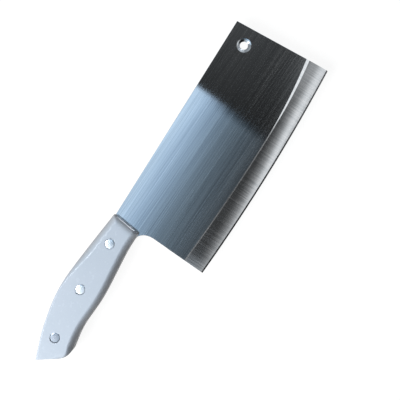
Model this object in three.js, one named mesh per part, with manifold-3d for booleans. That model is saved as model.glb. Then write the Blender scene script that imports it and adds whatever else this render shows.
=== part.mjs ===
// A broad kitchen cleaver: a stamped and ground blade with a full tang, two moulded handle scales
// and three two-piece rivets. Millimetres, +Z up; the knife lies flat with its tip toward +X and
// its edge toward -Y. Places are measured from the handle's front and from the blade's spine.
import * as THREE from "three";
import { mergeVertices } from "three/addons/utils/BufferGeometryUtils.js";
import Module from "manifold-3d";

// Blade sheet
const BLADE_LENGTH = 171.5; // along the spine
const BLADE_HEIGHT = 81; // spine to the lowest point of the edge
const BLADE_THICKNESS = 2.2;
const EDGE_RADIUS = 1430; // of the long belly
const BELLY_FORWARD = 84; // where the edge is lowest
const TIP_RAKE = 4.5; // the tip leans forward toward the edge
const TIP_CORNER_RADIUS = 3;
const SPINE_RISE = 0.6; // of the spine toward the handle
const HEEL_FORWARD = 0.4; // heel line ahead of the handle's front, at the height of the spine
const HEEL_RAKE = 4.3; // the heel leans back toward the edge
const NECK_SWEEP = 11; // height of the curve from heel to handle
const NECK_BACK = 8; // where that curve leaves the handle's belly
const NECK_TURN = 2.4; // drop of the curve's corner below the handle

// Grind, the same on both sides
const BEVEL_WIDTH = 15; // where it is narrowest
const BEVEL_NARROW = 113; // place of that along the blade
const BEVEL_WIDTH_HEEL = 16.7;
const BEVEL_WIDTH_TIP = 18.4;
const BEVEL_CROWN = 0.6; // share of the bevel's fall that its convex curve holds back
const SHOULDER_WIDTH = 0.8; // steep strip along the top of the bevel
const SHOULDER_WIDTH_TIP = 2.5;
const SHOULDER_FLARE = 54; // length over which the strip widens
const SHOULDER_ANGLE = 8; // degrees
const HONED_WIDTH = 1.2;
const HONED_ANGLE = 12; // degrees, each side
const EDGE_LAND = 0.06;

// Hanging hole
const HOLE_DIAMETER = 6.1;
const HOLE_FROM_TIP = 13;
const HOLE_FROM_SPINE = 14.1;
const COUNTERSINK_WIDTH = 1.5;
const DISH_WIDTH = 0.95; // shallow dish that the press leaves round the countersink
const DISH_DEPTH = 0.19;
const HOLE_LAND = 0.24; // straight part of the bore between its two countersinks

// Handle outline, in steps from its front to its butt; drops are below the spine
const FRONT_RISE = 1;
const FRONT_DROP = 22;
const FRONT_RAKE = 3.1;
const FRONT_CORNER = 1.4; // round of its two front corners
const CROWN_BACK = 60;
const CROWN_RISE = 6.6;
const CROWN_TO_REAR = 35;
const REAR_RISE = 2.2;
const FRONT_TO_THROAT = 20;
const THROAT_DROP = 21.6;
const THROAT_TO_BELLY = 38;
const BELLY_DROP = 24.5;
const BELLY_TO_WAIST = 26;
const WAIST_DROP = 23.5;
const WAIST_TO_BEAK = 16;
const BEAK_DROP = 25.4;
const BEAK_TO_CORNER = 8.3;
const CORNER_DROP = 27.6;
const CORNER_ROUND = 8; // where the rounded corner ends on the butt line
const CORNER_TO_BUTT = 14.3;
const BUTT_DROP = 6.8;

// Handle section
const SCALE_THICKNESS = 8.6;
const BACK_WIDTH = 5.6; // slope along the front of the back, for the thumb
const BACK_WIDTH_REAR = 1.2;
const BACK_FADE = 30; // where that slope starts to narrow
const BACK_FADED = 72;
const BACK_STEEPNESS = 0.7; // drop of the slope for its width
const BELLY_WIDTH = 4.8; // slope along the belly, for the fingers, that ends at the beak
const BELLY_STEEPNESS = 1.15;
const SLOPE_CURVE = 2; // 1 would make the slopes flat facets
const FRONT_ROUND = 6; // length of the round that ends the handle at the blade
const FRONT_STEEPNESS = 0.5;
const BUTT_ROUND = 1;
const TANG_INSET = 0.4; // tang edge below the scales

// Rivets
const FRONT_RIVET_BACK = 20.7;
const BUTT_RIVET_FORWARD = 21.6;
const FRONT_RIVET_RISE = 1; // above the middle of the handle
const BUTT_RIVET_RISE = 2;
const HEAD_DIAMETER = 7.4;
const HEAD_THICKNESS = 1.5;
const HEAD_DOME = 0.25;
const HEAD_RECESS = 0.1;
const SLEEVE_DIAMETER = 5;
const PIN_DIAMETER = 3;
const SLEEVE_REACH = 4; // into the lower scale
const RIVET_FIT = 0.1; // all round each rivet half
const SEAT_GAP = 0.05;
const PIN_END_GAP = 0.6;

const SPARE = 5; // how far a cutting body runs past what it cuts
const ROUND_STEPS = 6; // facets across a round or a slope
const BODY_STEPS = 20; // facets along the handle
const GRIND_STEPS = 36; // facets along the edge

const wasm = await Module();
wasm.setup();

const steel = new THREE.MeshStandardMaterial({ color: 0x9fadb9, metalness: 1, roughness: 0.32 });
const plastic = new THREE.MeshStandardMaterial({ color: 0xdde4ee, metalness: 0, roughness: 0.35 });
const rivetMetal = new THREE.MeshStandardMaterial({ color: 0xdfe6ec, metalness: 1, roughness: 0.25 });

const at = (back, rise) => new THREE.Vector2(-back, rise);
const tangent = (degrees) => Math.tan(THREE.MathUtils.degToRad(degrees));
const halfSheet = BLADE_THICKNESS / 2;
const topFace = halfSheet + SCALE_THICKNESS;

// Manifold solid from a geometry, and a geometry from a solid.
function solid(geometry) {
  const bare = new THREE.BufferGeometry();
  bare.setAttribute("position", geometry.getAttribute("position"));
  bare.setIndex(geometry.index);
  const welded = mergeVertices(bare, 1e-4);
  return new wasm.Manifold(
    new wasm.Mesh({
      numProp: 3,
      vertProperties: new Float32Array(welded.getAttribute("position").array),
      triVerts: new Uint32Array(welded.index.array),
    }),
  );
}

function geometryOf(body) {
  const mesh = body.getMesh();
  const geometry = new THREE.BufferGeometry();
  geometry.setAttribute("position", new THREE.BufferAttribute(mesh.vertProperties, mesh.numProp));
  geometry.setIndex(new THREE.BufferAttribute(mesh.triVerts, 1));
  geometry.computeVertexNormals();
  return geometry;
}

// Closed body between like rings of points; rings run anticlockwise seen from ahead.
function loft(rings) {
  const count = rings[0].length;
  const faces = [];
  for (let r = 0; r < rings.length - 1; r++) {
    for (let i = 0; i < count; i++) {
      const a = r * count + i;
      const b = r * count + ((i + 1) % count);
      faces.push(a, b, a + count, b, b + count, a + count);
    }
  }
  const flat = rings[0].map((p) => new THREE.Vector2(p.y, p.z));
  const last = (rings.length - 1) * count;
  for (const [a, b, c] of THREE.ShapeUtils.triangulateShape(flat, [])) {
    faces.push(a, c, b, last + a, last + b, last + c);
  }
  const geometry = new THREE.BufferGeometry().setFromPoints(rings.flat());
  geometry.setIndex(faces);
  return geometry;
}

// Round body about the Z axis through x, y, from [radius, height] points.
function turned(profile, x = 0, y = 0, segments = 40) {
  const points = profile.map(([radius, height]) => new THREE.Vector2(radius, height));
  return new THREE.LatheGeometry(points, segments).rotateX(Math.PI / 2).translate(x, y, 0);
}

// The two long lines of the handle: its back ends at the butt's point, and its belly turns a
// rounded corner onto the slanted butt line.
const bellyBack = FRONT_TO_THROAT + THROAT_TO_BELLY;
const waistBack = bellyBack + BELLY_TO_WAIST;
const beakBack = waistBack + WAIST_TO_BEAK;
const cornerBack = beakBack + BEAK_TO_CORNER;
const corner = at(cornerBack, -CORNER_DROP);
const butt = at(cornerBack + CORNER_TO_BUTT, -BUTT_DROP);
const buttStart = butt.clone().sub(corner).setLength(CORNER_ROUND).add(corner);

const handleBack = new THREE.SplineCurve([
  at(0, FRONT_RISE),
  at(CROWN_BACK, CROWN_RISE),
  at(CROWN_BACK + CROWN_TO_REAR, REAR_RISE),
  butt,
]);
const handleBelly = new THREE.Path()
  .moveTo(-FRONT_RAKE, -FRONT_DROP)
  .splineThru([
    at(FRONT_TO_THROAT, -THROAT_DROP),
    at(bellyBack, -BELLY_DROP),
    at(waistBack, -WAIST_DROP),
    at(beakBack, -BEAK_DROP),
  ])
  .quadraticCurveTo(corner.x, corner.y, buttStart.x, buttStart.y);

// How far a round of that radius has fallen at a distance from its rim.
function rounded(radius, distance) {
  return radius - Math.sqrt(radius ** 2 - Math.max(radius - distance, 0) ** 2);
}

// Shares of the handle's length at which it is drawn, closer together where the ends are rounded.
const ease = Array.from({ length: ROUND_STEPS + 1 }, (_, k) => {
  return 1 - Math.cos((k / ROUND_STEPS) * (Math.PI / 2));
});
const handleLength = handleBack.getLength();
const frontReach = Math.max(FRONT_ROUND, FRONT_CORNER) / handleLength;
const buttReach = (2 * BUTT_ROUND) / handleLength;
const stations = [
  ...ease.map((e) => e * frontReach),
  ...Array.from({ length: BODY_STEPS - 1 }, (_, k) => {
    const share = 1 - (1 - (k + 1) / BODY_STEPS) ** 1.6;
    return THREE.MathUtils.lerp(frontReach, 1 - buttReach, share);
  }),
  ...ease.map((e) => 1 - e * buttReach).reverse(),
];
const rails = stations.map((s) => {
  const back = handleBack.getPointAt(s);
  const belly = handleBelly.getPointAt(s);
  const nip = rounded(FRONT_CORNER, s * handleLength) / back.distanceTo(belly);
  return [back.clone().lerp(belly, nip), belly.clone().lerp(back, nip)];
});
const backLine = rails.map(([back]) => back);
const bellyLine = rails.map(([, belly]) => belly);
const frontLine = [backLine[0], bellyLine[0]];
const buttLine = [backLine.at(-1), bellyLine.at(-1)];

function distanceTo(line, p) {
  let nearest = Infinity;
  for (let i = 1; i < line.length; i++) {
    const along = line[i].clone().sub(line[i - 1]);
    const share = p.clone().sub(line[i - 1]).dot(along) / along.lengthSq();
    const foot = line[i - 1].clone().addScaledVector(along, THREE.MathUtils.clamp(share, 0, 1));
    nearest = Math.min(nearest, foot.distanceTo(p));
  }
  return nearest;
}

function heightAt(line, x) {
  const i = line.findIndex((p) => p.x <= x);
  const share = (x - line[i - 1].x) / (line[i].x - line[i - 1].x);
  return THREE.MathUtils.lerp(line[i - 1].y, line[i].y, share);
}

// A line moved to its left by an inset, its corners kept square.
function insetLine(line, inset) {
  return line.map((p, i) => {
    const before = line[Math.max(i, 1)].clone().sub(line[Math.max(i, 1) - 1]).normalize();
    const next = Math.min(i, line.length - 2);
    const after = line[next + 1].clone().sub(line[next]).normalize();
    const mean = before.clone().add(after).normalize();
    const reach = inset / mean.dot(before);
    return new THREE.Vector2(p.x - mean.y * reach, p.y + mean.x * reach);
  });
}

function backWidthAt(x) {
  const fade = THREE.MathUtils.smoothstep(-x, BACK_FADE, BACK_FADED);
  return THREE.MathUtils.lerp(BACK_WIDTH, BACK_WIDTH_REAR, fade);
}

function bellyWidthAt(x) {
  const fade = THREE.MathUtils.smoothstep(-x, beakBack, -buttStart.x);
  return THREE.MathUtils.lerp(BELLY_WIDTH, BUTT_ROUND, fade);
}

// Top of a scale over a point of its outline: flat, with a slope along each side and rounded ends.
function scaleTop(p) {
  const sloped = (width, steepness, distance) =>
    width * steepness * Math.max(1 - distance / width, 0) ** SLOPE_CURVE;
  const fall = Math.max(
    sloped(backWidthAt(p.x), BACK_STEEPNESS, distanceTo(backLine, p)),
    sloped(bellyWidthAt(p.x), BELLY_STEEPNESS, distanceTo(bellyLine, p)),
    FRONT_STEEPNESS * rounded(FRONT_ROUND, distanceTo(frontLine, p)),
    rounded(BUTT_ROUND, distanceTo(buttLine, p)),
  );
  return topFace - fall;
}

function scaleBlank() {
  const rings = stations.map((_, i) => {
    const back = backLine[i];
    const belly = bellyLine[i];
    const width = back.distanceTo(belly);
    const even = ease.map((_, k) => k / ROUND_STEPS);
    const fromBack = even.map((e) => (e * backWidthAt(back.x)) / width);
    const fromBelly = even.map((e) => 1 - (e * bellyWidthAt(belly.x)) / width).reverse();
    const top = [...fromBack, 0.4, 0.5, 0.6, ...fromBelly].map((share) => {
      const p = back.clone().lerp(belly, share);
      return new THREE.Vector3(p.x, p.y, scaleTop(p));
    });
    const seat = (p) => new THREE.Vector3(p.x, p.y, halfSheet);
    return [seat(back), ...top, seat(belly)];
  });
  return loft(rings.reverse());
}

// Rivets: places along the handle, then the heights they share.
const lastRivetBack = -butt.x - BUTT_RIVET_FORWARD;
const rivetBacks = [FRONT_RIVET_BACK, (FRONT_RIVET_BACK + lastRivetBack) / 2, lastRivetBack];
const rivets = rivetBacks.map((back, i) => {
  const middle = (heightAt(backLine, -back) + heightAt(bellyLine, -back)) / 2;
  return at(back, middle + THREE.MathUtils.lerp(FRONT_RIVET_RISE, BUTT_RIVET_RISE, i / 2));
});
const headRadius = HEAD_DIAMETER / 2;
const sleeveRadius = SLEEVE_DIAMETER / 2;
const pinRadius = PIN_DIAMETER / 2;
const headRim = topFace - HEAD_RECESS - HEAD_DOME;
const headSeat = headRim - HEAD_THICKNESS;
const sleeveEnd = -halfSheet - SLEEVE_REACH;
const dome = [1, 0.75, 0.5, 0.25, 0].map((r) => [r * headRadius, headRim + HEAD_DOME * (1 - r * r)]);

const sleeveHalf = turned([
  [0, headSeat],
  [pinRadius + RIVET_FIT, headSeat],
  [pinRadius + RIVET_FIT, sleeveEnd],
  [sleeveRadius, sleeveEnd],
  [sleeveRadius, headSeat],
  [headRadius, headSeat],
  ...dome,
]);
const pinHalf = turned([
  ...dome.map(([radius, height]) => [radius, -height]).reverse(),
  [headRadius, -headSeat],
  [pinRadius, -headSeat],
  [pinRadius, headSeat - PIN_END_GAP],
  [0, headSeat - PIN_END_GAP],
]);

function rivetHole(place) {
  const hole = sleeveRadius + RIVET_FIT;
  const head = headRadius + RIVET_FIT;
  const floor = headSeat - SEAT_GAP;
  const profile = [
    [0, -topFace],
    [hole, -topFace],
    [hole, floor],
    [head, floor],
    [head, topFace + SPARE],
    [0, topFace + SPARE],
  ];
  return solid(turned(profile, place.x, place.y));
}

const scaleGeometry = geometryOf(
  rivets.reduce((body, place) => body.subtract(rivetHole(place)), solid(scaleBlank())),
);

// Blade: a sheet ground along its edge, trimmed to its outline, with the holes cut through.
function edgeAt(x) {
  const drop = Math.sqrt(EDGE_RADIUS ** 2 - (x - BELLY_FORWARD) ** 2);
  return EDGE_RADIUS - BLADE_HEIGHT - drop;
}

// Width of the bevel along the blade: narrowest before the tip, and wider toward both ends.
function bevelAt(x) {
  if (x < BEVEL_NARROW) {
    return THREE.MathUtils.lerp(BEVEL_WIDTH, BEVEL_WIDTH_HEEL, 1 - x / BEVEL_NARROW);
  }
  const share = (x - BEVEL_NARROW) / (BLADE_LENGTH + TIP_RAKE - BEVEL_NARROW);
  return THREE.MathUtils.lerp(BEVEL_WIDTH, BEVEL_WIDTH_TIP, share ** 2);
}

function groundSheet() {
  const tipX = BLADE_LENGTH + TIP_RAKE;
  const honedTop = EDGE_LAND / 2 + HONED_WIDTH * tangent(HONED_ANGLE);
  const top = Math.max(CROWN_RISE, FRONT_RISE, REAR_RISE) + SPARE;
  const ring = (x) => {
    const edge = edgeAt(x);
    const shoulder = edge + bevelAt(x);
    const flare = THREE.MathUtils.clamp(1 - (tipX - x) / SHOULDER_FLARE, 0, 1);
    const strip = THREE.MathUtils.lerp(SHOULDER_WIDTH, SHOULDER_WIDTH_TIP, flare);
    const stripEnd = halfSheet - strip * tangent(SHOULDER_ANGLE);
    const side = [new THREE.Vector3(x, shoulder, halfSheet)];
    for (let k = 0; k <= ROUND_STEPS; k++) {
      const share = k / ROUND_STEPS;
      const fall = share * (1 - BEVEL_CROWN) + BEVEL_CROWN * share ** 2;
      const y = THREE.MathUtils.lerp(shoulder - strip, edge + HONED_WIDTH, share);
      side.push(new THREE.Vector3(x, y, THREE.MathUtils.lerp(stripEnd, honedTop, fall)));
    }
    side.push(new THREE.Vector3(x, edge, EDGE_LAND / 2));
    const upper = [new THREE.Vector3(x, top, halfSheet), ...side];
    const lower = upper.map((p) => new THREE.Vector3(p.x, p.y, -p.z)).reverse();
    return [...upper, ...lower];
  };
  const heelX = HEEL_FORWARD - HEEL_RAKE - SPARE;
  const rings = Array.from({ length: GRIND_STEPS + 1 }, (_, k) =>
    ring(THREE.MathUtils.lerp(heelX, tipX + SPARE, k / GRIND_STEPS)),
  );
  return loft([ring(butt.x - SPARE), ...rings]);
}

function bladeOutline() {
  const below = -BLADE_HEIGHT - SPARE;
  const tipAt = (y) => BLADE_LENGTH - (TIP_RAKE * y) / BLADE_HEIGHT;
  const heelAt = (y) => HEEL_FORWARD + (HEEL_RAKE * y) / BLADE_HEIGHT;
  const tipLow = edgeAt(tipAt(-BLADE_HEIGHT));
  const tipCorner = new THREE.Vector2(tipAt(tipLow), tipLow);
  const handle = insetLine([...backLine, ...bellyLine.slice().reverse()], TANG_INSET);
  const tang = handle.filter((p) => p.x < -NECK_BACK);
  const neckEnd = -FRONT_DROP - NECK_SWEEP;
  const outline = new THREE.Shape().moveTo(BLADE_LENGTH, 0).lineTo(0, SPINE_RISE);
  tang.forEach((p) => outline.lineTo(p.x, p.y));
  outline.quadraticCurveTo(heelAt(neckEnd), -FRONT_DROP - NECK_TURN, heelAt(neckEnd), neckEnd);
  outline.lineTo(heelAt(below), below);
  outline.lineTo(tipCorner.x - TIP_CORNER_RADIUS, below);
  outline.lineTo(tipCorner.x - TIP_CORNER_RADIUS, edgeAt(tipCorner.x - TIP_CORNER_RADIUS));
  const cornerTop = tipCorner.y + TIP_CORNER_RADIUS;
  outline.quadraticCurveTo(tipCorner.x, tipCorner.y, tipAt(cornerTop), cornerTop);
  outline.closePath();
  return outline;
}

function bladeGeometry() {
  const depth = BLADE_THICKNESS + 2 * SPARE;
  const options = { depth, bevelEnabled: false, curveSegments: 8 };
  const trim = new THREE.ExtrudeGeometry(bladeOutline(), options).translate(0, 0, -depth / 2);
  const bore = HOLE_DIAMETER / 2;
  const sink = bore + COUNTERSINK_WIDTH;
  const rim = sink + DISH_WIDTH;
  const hangingHole = turned(
    [
      [0, -halfSheet - SPARE],
      [rim, -halfSheet - SPARE],
      [rim, -halfSheet],
      [sink, DISH_DEPTH - halfSheet],
      [bore, -HOLE_LAND / 2],
      [bore, HOLE_LAND / 2],
      [sink, halfSheet - DISH_DEPTH],
      [rim, halfSheet],
      [rim, halfSheet + SPARE],
      [0, halfSheet + SPARE],
    ],
    BLADE_LENGTH - HOLE_FROM_TIP,
    -HOLE_FROM_SPINE,
  );
  const sheet = solid(groundSheet()).intersect(solid(trim)).subtract(solid(hangingHole));
  return geometryOf(rivets.reduce((body, place) => body.subtract(rivetHole(place)), sheet));
}

// Assembly, set down with its lowest face on the floor and its middle over the origin.
const knife = new THREE.Group();
knife.name = "kitchen_knife";

function add(name, geometry, material) {
  const mesh = new THREE.Mesh(geometry, material);
  mesh.name = name;
  knife.add(mesh);
  return mesh;
}

add("blade", bladeGeometry(), steel);
add("upper_scale", scaleGeometry, plastic);
add("lower_scale", scaleGeometry, plastic).scale.z = -1;
["neck", "middle", "butt"].forEach((where, i) => {
  add(where + "_rivet_sleeve", sleeveHalf, rivetMetal).position.set(rivets[i].x, rivets[i].y, 0);
  add(where + "_rivet_pin", pinHalf, rivetMetal).position.set(rivets[i].x, rivets[i].y, 0);
});

const box = new THREE.Box3().setFromObject(knife, true);
const middle = box.getCenter(new THREE.Vector3());
knife.children.forEach((piece) => {
  piece.position.sub(new THREE.Vector3(middle.x, middle.y, box.min.z));
});

export default knife;
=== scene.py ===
import bmesh
import bpy
import math
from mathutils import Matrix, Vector
from mathutils.geometry import interpolate_bezier


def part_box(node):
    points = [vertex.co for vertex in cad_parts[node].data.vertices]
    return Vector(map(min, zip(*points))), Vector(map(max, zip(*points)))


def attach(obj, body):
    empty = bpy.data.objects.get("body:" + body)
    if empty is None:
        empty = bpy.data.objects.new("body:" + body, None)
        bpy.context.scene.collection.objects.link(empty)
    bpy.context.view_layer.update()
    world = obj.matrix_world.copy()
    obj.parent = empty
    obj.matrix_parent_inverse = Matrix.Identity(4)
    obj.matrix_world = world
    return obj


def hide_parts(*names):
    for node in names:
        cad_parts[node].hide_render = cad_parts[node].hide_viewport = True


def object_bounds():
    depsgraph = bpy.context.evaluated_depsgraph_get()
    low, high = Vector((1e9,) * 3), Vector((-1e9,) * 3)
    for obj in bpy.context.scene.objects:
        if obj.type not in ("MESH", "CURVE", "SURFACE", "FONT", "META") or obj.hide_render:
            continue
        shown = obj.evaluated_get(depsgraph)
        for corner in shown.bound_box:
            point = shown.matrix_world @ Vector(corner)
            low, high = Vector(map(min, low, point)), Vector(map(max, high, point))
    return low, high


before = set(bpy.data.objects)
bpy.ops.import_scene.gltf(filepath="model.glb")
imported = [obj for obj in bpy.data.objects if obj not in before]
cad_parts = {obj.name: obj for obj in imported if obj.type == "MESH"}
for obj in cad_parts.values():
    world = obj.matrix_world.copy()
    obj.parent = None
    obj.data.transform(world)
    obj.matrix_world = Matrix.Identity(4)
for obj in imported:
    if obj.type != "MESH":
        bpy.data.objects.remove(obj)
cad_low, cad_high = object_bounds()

# BLADE AND TANG
# One sheet of stainless steel, stamped to its outline with a tang as long as the handle, then ground:
# a long convex bevel along the edge on both faces, with a steep strip above it that widens at the tip.
# The faces are brushed along the blade, the bevel is ground square to the edge, the edge is honed.

MM = 0.001
BLADE_LENGTH = 171.5  # sizes are in mm, and places are measured from where spine and handle meet
BLADE_HEIGHT = 81
HALF_SHEET = 1.1
EDGE_RADIUS = 1430
BELLY_FORWARD = 84
SPINE_RISE = 0.6
TIP_RAKE = 4.5
TIP_CORNER = 3
HEEL_FORWARD = 0.4
HEEL_RAKE = 4.3
NECK_SWEEP = 11
NECK_BACK = 8
NECK_TURN = 2.4
NECK_POINTS = 12
BEVEL_WIDTH = 15
BEVEL_NARROW = 113
BEVEL_WIDTH_HEEL = 16.7
BEVEL_WIDTH_TIP = 18.4
BEVEL_CROWN = 0.6
BEVEL_ROWS = 12
STRIP_WIDTH = 0.8
STRIP_WIDTH_TIP = 2.5
STRIP_FLARE = 54
STRIP_SLOPE = math.tan(math.radians(8))
EDGE_LAND = 0.03
HONED_WIDTH = 1.2
HONED_TOP = EDGE_LAND + HONED_WIDTH * math.tan(math.radians(12))
NEAR = 0.01  # two places that are closer than this count as one
WELD = 0.002  # points that are closer than this are merged
CLEAR = 3  # how far a cutter stands out of what it cuts


def pick(piece, kind, wanted, rim=False):
    """In edit mode, selects the verts, edges or faces whose points, in mm, are the wanted ones; with
    rim, only those on an open border."""
    mesh = bmesh.from_edit_mesh(piece.data)
    bpy.ops.mesh.select_mode(type=kind)
    bpy.ops.mesh.select_all(action="DESELECT")
    for item in {"VERT": mesh.verts, "EDGE": mesh.edges, "FACE": mesh.faces}[kind]:
        points = [item] if kind == "VERT" else item.verts
        if (not rim or item.is_boundary) and wanted([v.co / MM for v in points]):
            item.select_set(True)
    mesh.select_flush_mode()
    bmesh.update_edit_mesh(piece.data)


def start_piece(name):
    """Names the primitive that was just added, and opens it in edit mode with all of it selected."""
    piece = bpy.context.object
    piece.name = piece.data.name = name
    bpy.ops.object.mode_set(mode="EDIT")
    bpy.ops.mesh.select_all(action="SELECT")
    return piece


def take_up(piece):
    """Makes a piece the only selected one, in object mode."""
    if bpy.context.mode != "OBJECT":
        bpy.ops.object.mode_set(mode="OBJECT")
    bpy.ops.object.select_all(action="DESELECT")
    piece.select_set(True)
    bpy.context.view_layer.objects.active = piece


def push(x=0.0, y=0.0, z=0.0):
    """Extrudes what is selected by that many mm."""
    bpy.ops.mesh.extrude_region_move(TRANSFORM_OT_translate={"value": Vector((x, y, z)) * MM})


def draw_rings(radius, height, rings, centre, side):
    """Draws a selected round face, of that radius and height, on through rings of other radii and
    heights; side is 1 for upward and -1 for downward."""
    for next_radius, next_height in rings:
        push(z=side * (next_height - height))
        grow = next_radius / radius
        bpy.ops.transform.resize(value=(grow, grow, 1), center_override=centre)
        radius, height = next_radius, next_height


def cut_off(point, outward):
    """Cuts the whole piece along an upright plane, and drops what lies on its outward side."""
    bpy.ops.mesh.select_all(action="SELECT")
    bpy.ops.mesh.bisect(plane_co=Vector((*point, 0)) * MM, plane_no=(*outward, 0), clear_outer=True)


def select_border():
    """Selects the open border of the piece."""
    bpy.ops.mesh.select_mode(type="EDGE")
    bpy.ops.mesh.select_all(action="DESELECT")
    bpy.ops.mesh.select_non_manifold(extend=False, use_wire=False, use_multi_face=False,
                                     use_non_contiguous=False, use_verts=False)


def turn_faces_out():
    """Points the faces of the piece outward."""
    bpy.ops.mesh.select_all(action="SELECT")
    bpy.ops.mesh.normals_make_consistent(inside=False)


def apply_modifier(piece, kind, **settings):
    """Adds a modifier to the active piece, in object mode, and applies it."""
    modifier = piece.modifiers.new(kind.lower(), kind)
    for key, value in settings.items():
        setattr(modifier, key, value)
    bpy.ops.object.modifier_apply(modifier=modifier.name)


def smooth_line(knots, points=32):
    """A smooth line through the knots, with that many points from one knot to the next."""
    knots = [Vector(k) for k in knots]
    ends = [knots[0], *knots, knots[-1]]
    line = []
    for a, b, c, d in zip(ends, knots, knots[1:], ends[3:]):
        line += interpolate_bezier(b, b + (c - a) / 6, c - (d - b) / 6, c, points)
    return line


def round_corner(start, corner, end, points):
    """A curve that leaves its start toward the corner and comes to its end from the corner."""
    pull = 2 / 3
    return interpolate_bezier(start, start.lerp(corner, pull), end.lerp(corner, pull), end, points)


def length_of(line):
    return sum((b - a).length for a, b in zip(line, line[1:]))


def point_on(line, share):
    """The point at a share of a line's length."""
    left = share * length_of(line)
    for a, b in zip(line, line[1:]):
        step = (b - a).length
        if left <= step and step > 0:
            return a.lerp(b, left / step)
        left -= step
    return line[-1].copy()


def rounded(radius, distance):
    """How far a round of that radius has fallen at a distance from its rim."""
    return radius - math.sqrt(radius**2 - max(radius - distance, 0) ** 2)


# The handle's lines, which the tang keeps inside: its back runs down to the pointed butt, and its
# belly swells, narrows and swells again to a beak, where a rounded corner meets the slanted butt.
FRONT_TOP = (0, 1)
FRONT_FOOT = (-3.1, -22)
FRONT_CORNER = 1.4
BACK_KNOTS = ((-60, 6.6), (-95, 2.2))
BUTT_POINT = (-122.6, -6.8)
BELLY_KNOTS = ((-20, -21.6), (-58, -24.5), (-84, -23.5), (-100, -25.4))
BEAK_CORNER = (-108.3, -27.6)
BEAK_ROUND = 8
BEAK_POINTS = 24
back_line = smooth_line([FRONT_TOP, *BACK_KNOTS, BUTT_POINT])
belly_line = smooth_line([FRONT_FOOT, *BELLY_KNOTS])
beak_start = belly_line[-1]
beak = Vector(BEAK_CORNER)
beak_end = beak + (Vector(BUTT_POINT) - beak).normalized() * BEAK_ROUND
belly_line += round_corner(beak_start, beak, beak_end, BEAK_POINTS)[1:]
HANDLE_FRONT = Vector((cad_low[0] - BUTT_POINT[0] * MM, cad_low[1] + BLADE_HEIGHT * MM,
                       (cad_low[2] + cad_high[2]) / 2))


def set_in_place(piece):
    """Moves a piece from the drawing's origin to its place on the knife, with the place in its mesh."""
    take_up(piece)
    piece.location = HANDLE_FRONT
    bpy.ops.object.transform_apply(location=True, rotation=True, scale=True)


def handle_rails(stations):
    """Points of the back and the belly at shares of their length, drawn in at the front corners."""
    rails = []
    for share in stations:
        back, belly = point_on(back_line, share), point_on(belly_line, share)
        nip = rounded(FRONT_CORNER, share * length_of(back_line)) / (back - belly).length
        rails.append((back.lerp(belly, nip), belly.lerp(back, nip)))
    return rails


def handle_sheet(name, rails, across):
    """A sheet between the handle's rails, in edit mode: across(back, belly) gives the shares between
    them at which it has a point."""
    rows = len(across(*rails[0]))
    bpy.ops.object.select_all(action="DESELECT")
    bpy.ops.mesh.primitive_grid_add(x_subdivisions=len(rails) - 1, y_subdivisions=rows - 1, size=1)
    sheet = start_piece(name)
    grid = bmesh.from_edit_mesh(sheet.data)
    for v in grid.verts:
        back, belly = rails[round((0.5 - v.co.x) * (len(rails) - 1))]
        share = across(back, belly)[round((0.5 - v.co.y) * (rows - 1))]
        v.co = back.lerp(belly, share).to_3d() * MM
    bmesh.update_edit_mesh(sheet.data)
    return sheet


def outward_of(a, b):
    """Square to the line from a to b, on its left."""
    along = (Vector(b) - Vector(a)).normalized()
    return (-along.y, along.x)


def edge_height(x):
    """Height of the edge at a place along the blade."""
    return EDGE_RADIUS - BLADE_HEIGHT - math.sqrt(EDGE_RADIUS**2 - (x - BELLY_FORWARD) ** 2)


def heel_at(y):
    """Place of the heel's line along the blade at a height."""
    return HEEL_FORWARD + HEEL_RAKE * y / BLADE_HEIGHT


def bevel_at(x):
    """Width of the bevel along the blade: narrowest before the tip, wider toward both ends."""
    if x < BEVEL_NARROW:
        return BEVEL_WIDTH + (BEVEL_WIDTH_HEEL - BEVEL_WIDTH) * (1 - x / BEVEL_NARROW)
    share = (x - BEVEL_NARROW) / (BLADE_LENGTH + TIP_RAKE - BEVEL_NARROW)
    return BEVEL_WIDTH + (BEVEL_WIDTH_TIP - BEVEL_WIDTH) * share**2


def ground_section(x):
    """The grind at a place along the blade, from its shoulder to the edge, as points of distance from
    the edge and height."""
    flare = min(max(1 - (BLADE_LENGTH + TIP_RAKE - x) / STRIP_FLARE, 0), 1)
    strip = STRIP_WIDTH + (STRIP_WIDTH_TIP - STRIP_WIDTH) * flare
    start, low = bevel_at(x) - strip, HALF_SHEET - strip * STRIP_SLOPE
    points = [(bevel_at(x), HALF_SHEET), (start, low)]
    for row in range(1, BEVEL_ROWS + 1):
        share = row / BEVEL_ROWS
        fall = share * (1 - BEVEL_CROWN) + BEVEL_CROWN * share**2
        points.append((start + (HONED_WIDTH - start) * share, low + (HONED_TOP - low) * fall))
    return points + [(0, EDGE_LAND)]


# The grind's section is drawn point by point behind the heel and spun about the edge's own centre.
CENTRE = Vector((BELLY_FORWARD, EDGE_RADIUS - BLADE_HEIGHT, 0))
SPIN_FROM, SPIN_TO = -9, 181
SPIN_STEPS = 96
heel_turn = math.asin((SPIN_FROM - BELLY_FORWARD) / EDGE_RADIUS)
tip_turn = math.asin((SPIN_TO - BELLY_FORWARD) / EDGE_RADIUS)
outward = Vector((math.sin(heel_turn), -math.cos(heel_turn), 0))
section = ground_section(SPIN_FROM)
first = CENTRE + outward * (EDGE_RADIUS - section[0][0]) + Vector((0, 0, section[0][1]))
bpy.ops.object.select_all(action="DESELECT")
bpy.ops.mesh.primitive_plane_add(size=MM, location=first * MM)
bpy.ops.object.transform_apply(location=True)
blade = start_piece("blade_sheet")
bpy.ops.mesh.merge(type="CENTER")
for (width, height), (next_width, next_height) in zip(section, section[1:]):
    push(*(outward * (width - next_width)).xy, next_height - height)
bpy.ops.mesh.select_all(action="SELECT")
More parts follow.
